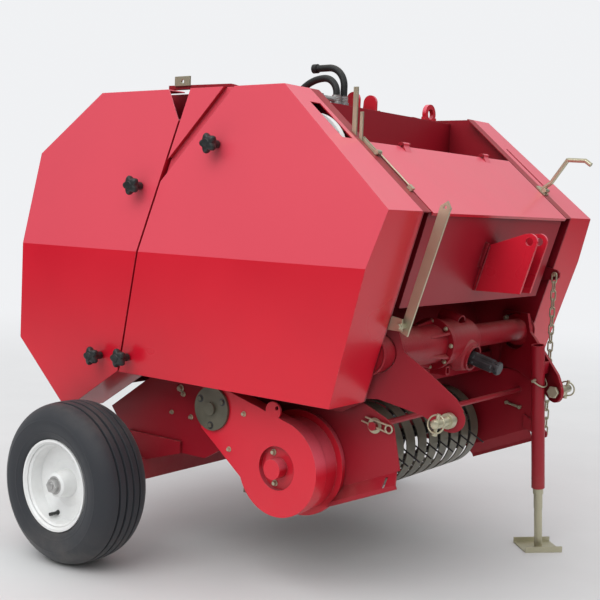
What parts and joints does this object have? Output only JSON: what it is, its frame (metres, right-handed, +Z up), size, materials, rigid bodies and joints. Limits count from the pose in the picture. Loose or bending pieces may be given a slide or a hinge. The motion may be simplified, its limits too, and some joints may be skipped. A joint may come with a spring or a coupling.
{
  "type": "compact round baler",
  "caption": "Compact tractor-mounted round baler with a roller chamber, hinged tailgate, tined pick-up, two wheels, three point hitch and a front stand.",
  "frame": {"origin": "on the ground under the middle of the machine's overall box", "axes": "+X forward in the direction of travel, +Y to the machine's left, +Z up"},
  "size_m": [1.286, 1.411, 1.295],
  "materials": {
    "red_paint": "gloss",
    "dark_red_paint": "satin",
    "cast_red": "satin",
    "zinc": "zinc plated",
    "black_steel": "satin",
    "bare_steel": "satin",
    "olive_steel": "matt",
    "black_plastic": "matt",
    "white_plastic": "gloss",
    "hose_rubber": "matt",
    "tyre_rubber": "matt",
    "white_paint": "gloss"
  },
  "bodies": {
    "chassis": {"frame_side_right": "dark_red_paint", "frame_side_left": "dark_red_paint", "cross_members": "dark_red_paint", "top_cross_plate": "dark_red_paint", "lifting_eye": "red_paint", "hinge_brackets": "dark_red_paint", "hinge_pins": "zinc", "twine_box": "dark_red_paint", "top_link_bracket": "red_paint", "link_bracket_right": "dark_red_paint", "link_bracket_left": "dark_red_paint", "lower_link_pins": "zinc", "gearbox": "cast_red", "front_cover_right": "red_paint", "front_cover_left": "red_paint", "corner_plates": "red_paint", "front_knobs": "black_plastic", "side_disc": "white_plastic", "control_levers": "zinc", "indicator_bar": "zinc", "crank_handle": "zinc", "hydraulic_hoses": "hose_rubber", "hose_fittings": "bare_steel", "front_rollers": "bare_steel", "feed_roller": "bare_steel", "axle_beam": "dark_red_paint", "pickup_sides": "dark_red_paint", "retaining_clips": "zinc", "stripper_bands": "olive_steel", "pickup_drive_case": "red_paint", "case_disc": "olive_steel", "stand_sleeve": "dark_red_paint", "lift_chain": "zinc"},
    "tailgate": {"gate_side_right": "dark_red_paint", "gate_side_left": "dark_red_paint", "gate_skin": "dark_red_paint", "gate_rollers": "bare_steel", "rear_cover_right": "red_paint", "rear_cover_left": "red_paint", "rear_knobs": "black_plastic"},
    "twine_lid": {"lid": "red_paint"},
    "wheel_right": {"tyre_right": "tyre_rubber", "rim_right": "white_paint"},
    "wheel_left": {"tyre_left": "tyre_rubber", "rim_left": "white_paint"},
    "pickup_reel": {"tine_reel": "black_steel"},
    "drive_input": {"pto_stub": "black_steel"},
    "stand": {"stand_leg": "zinc", "stand_foot": "zinc"}
  },
  "joints": [
    {"name": "tailgate_hinge", "type": "hinge", "parent": "chassis", "child": "tailgate", "pos_m": [-0.09, 0, 1.117], "axis": [0, 1, 0], "range_deg": [0, 42]},
    {"name": "lid_hinge", "type": "hinge", "parent": "chassis", "child": "twine_lid", "pos_m": [0.36777, 0, 1.07906], "axis": [0, -1, 0], "range_deg": [0, 140]},
    {"name": "wheel_right_spin", "type": "hinge", "parent": "chassis", "child": "wheel_right", "pos_m": [-0.309, -0.623, 0.205], "axis": [0, 1, 0], "continuous": true},
    {"name": "wheel_left_spin", "type": "hinge", "parent": "chassis", "child": "wheel_left", "pos_m": [-0.309, 0.623, 0.205], "axis": [0, 1, 0], "continuous": true},
    {"name": "pickup_spin", "type": "hinge", "parent": "chassis", "child": "pickup_reel", "pos_m": [0.224, 0, 0.308], "axis": [0, 1, 0], "continuous": true},
    {"name": "drive_spin", "type": "hinge", "parent": "chassis", "child": "drive_input", "pos_m": [0.474, 0, 0.556], "axis": [0.9659, 0, -0.2588], "continuous": true},
    {"name": "stand_slide", "type": "slide", "parent": "chassis", "child": "stand", "axis": [0, -0.1357, 0.9907], "range_m": [0, 0.152]}
  ]
}
